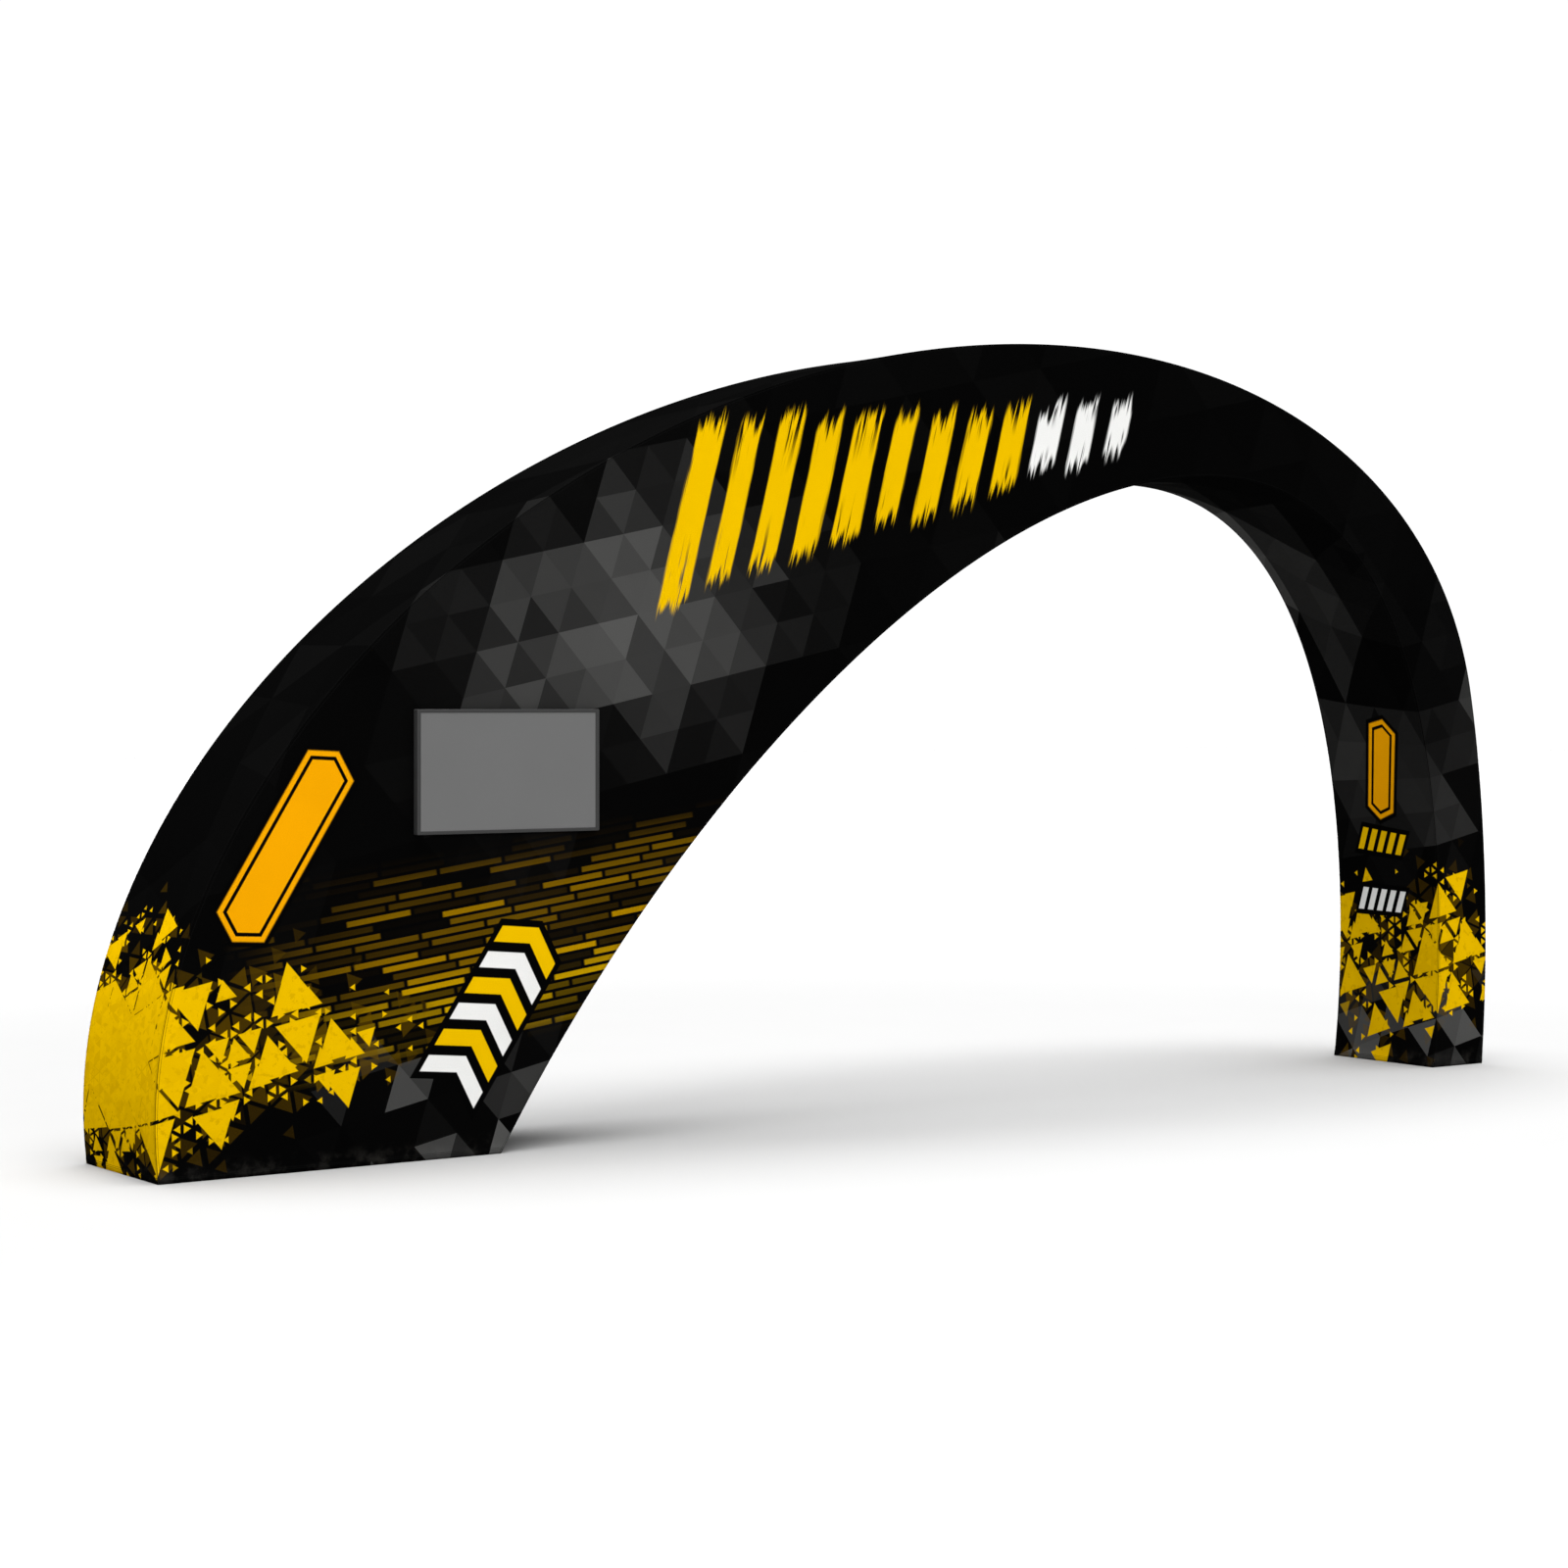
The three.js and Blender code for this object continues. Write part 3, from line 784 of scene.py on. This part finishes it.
def rail_names(edges, faces):
    return [f"{edge}_rail_{face}_{section}" for edge in edges for face in faces for section in RAIL_SECTIONS]


def dress_cover():
    """Two panels and two strips of printed cloth, each in place of its solid."""
    materials = printed_material(), reverse_material()
    both_edges, both_faces = ("outer", "inner"), ("front", "back")
    panel_size = PANEL_HIGH - PANEL_LOW
    panel_flat = (panel_size[0] + 2 * SEAM_ALLOWANCE, panel_size[2] + SEAM_ALLOWANCE + HEM_HEIGHT)
    panel_area = polygon_area(np.vstack([outer.place, inner.place[::-1]]))
    panel_area += SEAM_ALLOWANCE * (outer.lengths[-1] + inner.lengths[-1])
    sheets = []
    for face, y, inside, flip in (("front", FRONT, 1, True), ("back", BACK, -1, False)):
        piece = add_cloth(f"{face}_cloth", *panel_grid(y, inside), flip)
        sheets.append((piece, f"{face}_panel", panel_flat, panel_area, rail_names(both_edges, [face])))
    for edge, rows, flip in (("outer", outer, False), ("inner", inner, True)):
        piece = add_cloth(f"{edge}_cloth", *strip_grid(rows), flip)
        strip_flat = (DEPTH + 2 * SEAM_ALLOWANCE, rows.lengths[-1] + 2 * HEM_HEIGHT)
        sheets.append((piece, f"{edge}_gusset", strip_flat, None, rail_names([edge], both_faces)))
    for piece, node, flat, area, rails in sheets:
        set_material(piece, *materials)
        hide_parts(node)
        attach(piece, "root")


# Frame and monitor

CORNER_STEPS = 6
EDGE_ROUND, EDGE_STEPS = 0.0012, 3  # radius of the monitor's moulded edges, and the steps in which they turn
MONITOR_CORNER, CASE_BEVEL = 0.005, 0.003
SCREEN_CORNER = 0.001
SCREEN_GAP = 0.0003                 # between the screen and the rim
SHARP_EDGE = math.radians(40)       # edges that turn by more than this aren't smoothed


def dress_frame():
    """Bare aluminium tube, and powder-coated steel for the feet and the bracket."""
    tube = mottled_material(
        "mill_aluminium",
        srgb(168, 170, 174),
        srgb(196, 198, 202),
        rough=(0.32, 0.5),
        scale=40.0,
        bump=0.15,
        metallic=1.0,
    )
    steel = mottled_material(
        "powder_coat",
        srgb(36, 37, 39),
        srgb(46, 47, 49),
        rough=(0.5, 0.65),
        scale=900.0,
        bump=0.3,
    )
    for name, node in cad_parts.items():
        if "rail" in name or "cross_frame" in name or "monitor_bar" in name:
            set_material(node, tube)
        elif "foot" in name or name == "monitor_bracket":
            set_material(node, steel)


def rounded_loop(centre, half_size, radius, y):
    """Points round a rectangle with rounded corners that faces the front."""
    points = []
    for turn in range(4):
        side_x = 1 if turn in (0, 3) else -1
        side_z = 1 if turn in (0, 1) else -1
        for angle in np.linspace(0, math.pi / 2, CORNER_STEPS) + turn * math.pi / 2:
            x = centre[0] + side_x * (half_size[0] - radius) + radius * math.cos(angle)
            z = centre[1] + side_z * (half_size[1] - radius) + radius * math.sin(angle)
            points.append((x, y, z))
    return points


def round_steps():
    """A rounded edge from its side to its face: (inset from the side, depth from the face)."""
    angles = np.linspace(0, math.pi / 2, EDGE_STEPS + 1)
    return [(EDGE_ROUND * (1 - math.cos(angle)), EDGE_ROUND * (1 - math.sin(angle))) for angle in angles]


def add_moulding(name, loops, caps, material):
    """A solid from loops of points, joined in turn.

    With caps its two ends are closed, and without them the last loop joins the first.
    """
    points = np.array(loops)
    count, around = points.shape[:2]
    index = np.arange(count * around).reshape(count, around)
    faces = []
    for ring in range(count - 1 if caps else count):
        here, there = index[ring], index[(ring + 1) % count]
        for point in range(around):
            after = (point + 1) % around
            faces.append((here[point], here[after], there[after], there[point]))
    if caps:
        faces += [tuple(index[0][::-1]), tuple(index[-1])]
    mesh = bpy.data.meshes.new(name)
    mesh.from_pydata(points.reshape(-1, 3).tolist(), [], [tuple(map(int, face)) for face in faces])
    mesh.shade_smooth()
    mesh.set_sharp_from_angle(angle=SHARP_EDGE)
    piece = add_object(name, mesh)
    set_material(piece, material)
    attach(piece, "root")
    return piece


def plastic(name, dark, light):
    """Fine-textured moulded plastic in two close greys."""
    return mottled_material(name, grey(dark), grey(light), rough=(0.5, 0.62), scale=1400.0, bump=0.25)


def dress_monitor():
    """Rim and case with rounded moulded edges, and the screen inside the rim."""
    screen = mottled_material("screen_panel", grey(82), grey(84), rough=(0.34, 0.38), scale=3.0)
    set_material(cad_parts["monitor_screen"], screen)

    low, high = corners(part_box("monitor_bezel"))
    screen_low, screen_high = corners(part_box("monitor_screen"))
    centre = (low + high)[[0, 2]] / 2
    half = (high - low)[[0, 2]] / 2
    hole = (screen_high - screen_low)[[0, 2]] / 2 + SCREEN_GAP
    front, back = low[1], high[1]
    loops = [rounded_loop(centre, half, MONITOR_CORNER, back)]
    for inset, depth in round_steps():
        loops.append(rounded_loop(centre, half - inset, MONITOR_CORNER, front + depth))
    for inset, depth in reversed(round_steps()):
        loops.append(rounded_loop(centre, hole + inset, SCREEN_CORNER + inset, front + depth))
    loops.append(rounded_loop(centre, hole, SCREEN_CORNER, back))
    rim = add_moulding("monitor_rim", loops, False, plastic("rim_plastic", 16, 21))
    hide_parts("monitor_bezel")

    low, high = corners(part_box("monitor_housing"))
    front, back = low[1], high[1]
    loops = []
    for inset, depth in reversed(round_steps()):
        loops.append(rounded_loop(centre, half - inset, MONITOR_CORNER, front + depth))
    loops.append(rounded_loop(centre, half, MONITOR_CORNER, back - CASE_BEVEL))
    loops.append(rounded_loop(centre, half - CASE_BEVEL, MONITOR_CORNER, back))
    case = add_moulding("monitor_case", loops, True, plastic("case_plastic", 40, 46))
    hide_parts("monitor_housing")


# Stage, light and camera

FLOOR_SIZE = 160.0
FLOOR_DARK, FLOOR_LIGHT, FLOOR_FAR_PAINTED_LIGHT = grey(147), grey(148), grey(162)
FLOOR_FADE = (4.0, 12.0)        # distances from the stand between which painted light makes the floor grow lighter
FLOOR_SCALE, FLOOR_ROUGH = 2.0, (0.75, 0.80)
SKY_LOW, SKY_HIGH = 1.04, 0.12  # brightness of the studio's walls near the floor, and of what is above them
SKY_FADE = (0.25, 0.55)         # where one goes over into the other, as the rise of a direction
SIDE_LOSS = 0.50                # share of light missing from the wall on the broad leg's side
SIDE_FADE = (-0.15, -0.9)       # where that sets in, as the x of a direction
OVERHEAD_POWER, OVERHEAD_SPREAD, OVERHEAD_TILT = 9.6, math.radians(58), math.radians(4)
KEY_POWER, KEY_SIZE = 224.0, (4.0, 3.5)
KEY_PLACE, KEY_TARGET = Vector((-3.2, -8.0, 4.2)), Vector((-0.3, 0.0, 1.3))

# The camera stands level. Its picture is in pixels, and its place is from the broad leg's outer front foot.
PICTURE_SIZE, FOCAL_LENGTH = 1600.0, 3250.8
PICTURE_MIDDLE, HORIZON = 800.5, 720.7
SENSOR_WIDTH = 36.0
CAMERA_PLACE, CAMERA_HEADING = (-4.2878, -9.7299, 1.5682), math.radians(34.9)


def floor_material():
    """Plain pale paint, with painted light that makes it a little lighter far from the stand."""
    material, tree, sockets = new_material("pale_floor")
    x, y, _ = read_place(tree)
    # painted light: the floor's colour grows lighter away from the stand, so the stand's surroundings read
    # darker
    far = (x * x + y * y).math("SQRT").ramp(*FLOOR_FADE)
    cloud = noise(vector(x, y), FLOOR_SCALE)
    near_colour = blend_colour(cloud, FLOOR_DARK, FLOOR_LIGHT)
    plug(sockets["Base Color"], blend_colour(far, near_colour, FLOOR_FAR_PAINTED_LIGHT))
    plug(sockets["Roughness"], cloud.spread(*FLOOR_ROUGH))
    sockets["Specular IOR Level"].default_value = 0.0
    return material


def add_floor():
    half = FLOOR_SIZE / 2
    points = [(-half, -half, 0), (half, -half, 0), (half, half, 0), (-half, half, 0)]
    mesh = bpy.data.meshes.new("floor")
    mesh.from_pydata(points, [], [(0, 1, 2, 3)])
    floor = add_object("floor", mesh)
    set_material(floor, floor_material())


def add_sky():
    """White walls all round, dimmer above and on one side."""
    world = bpy.data.worlds.new("studio")
    world.use_nodes = True
    tree = world.node_tree
    x, _, z = read_place(tree, "Generated")
    high, side = z.ramp(*SKY_FADE), x.ramp(*SIDE_FADE)
    background = tree.nodes["Background"].inputs
    background["Color"].default_value = (1.0, 1.0, 1.0, 1.0)
    plug(background["Strength"], high.spread(SKY_LOW, SKY_HIGH) * (1.0 - side * SIDE_LOSS))
    bpy.context.scene.world = world


def add_lamp(name, kind, power):
    light = bpy.data.lights.new(name, kind)
    light.energy = power
    return light, add_object(name, light)


def add_light():
    """The studio's walls, a wide light overhead and a key light in front."""
    add_sky()
    overhead, lamp = add_lamp("overhead", "SUN", OVERHEAD_POWER)
    overhead.angle = OVERHEAD_SPREAD
    lamp.rotation_euler = (0.0, OVERHEAD_TILT, 0.0)
    key, lamp = add_lamp("key", "AREA", KEY_POWER)
    key.shape = "RECTANGLE"
    key.size, key.size_y = KEY_SIZE
    lamp.location = KEY_PLACE
    lamp.rotation_euler = (KEY_TARGET - KEY_PLACE).to_track_quat("-Z", "Y").to_euler()
    lamp.visible_camera = False


def add_camera():
    """The photograph's view, with the horizon above the middle of the picture."""
    camera = bpy.data.cameras.new("camera")
    camera.sensor_width = SENSOR_WIDTH
    camera.lens = FOCAL_LENGTH / PICTURE_SIZE * SENSOR_WIDTH
    camera.shift_x = (PICTURE_SIZE / 2 - PICTURE_MIDDLE) / PICTURE_SIZE
    camera.shift_y = (HORIZON - PICTURE_SIZE / 2) / PICTURE_SIZE
    camera.clip_end = 2 * FLOOR_SIZE
    view = add_object("camera", camera)
    view.location = np.add((FOOT_X, FRONT, 0.0), CAMERA_PLACE)
    view.rotation_euler = (math.pi / 2, 0.0, -CAMERA_HEADING)
    bpy.context.scene.camera = view


add_camera()
dress_cover()
dress_frame()
dress_monitor()
add_floor()
add_light()
bpy.context.scene.view_settings.view_transform = "Standard"
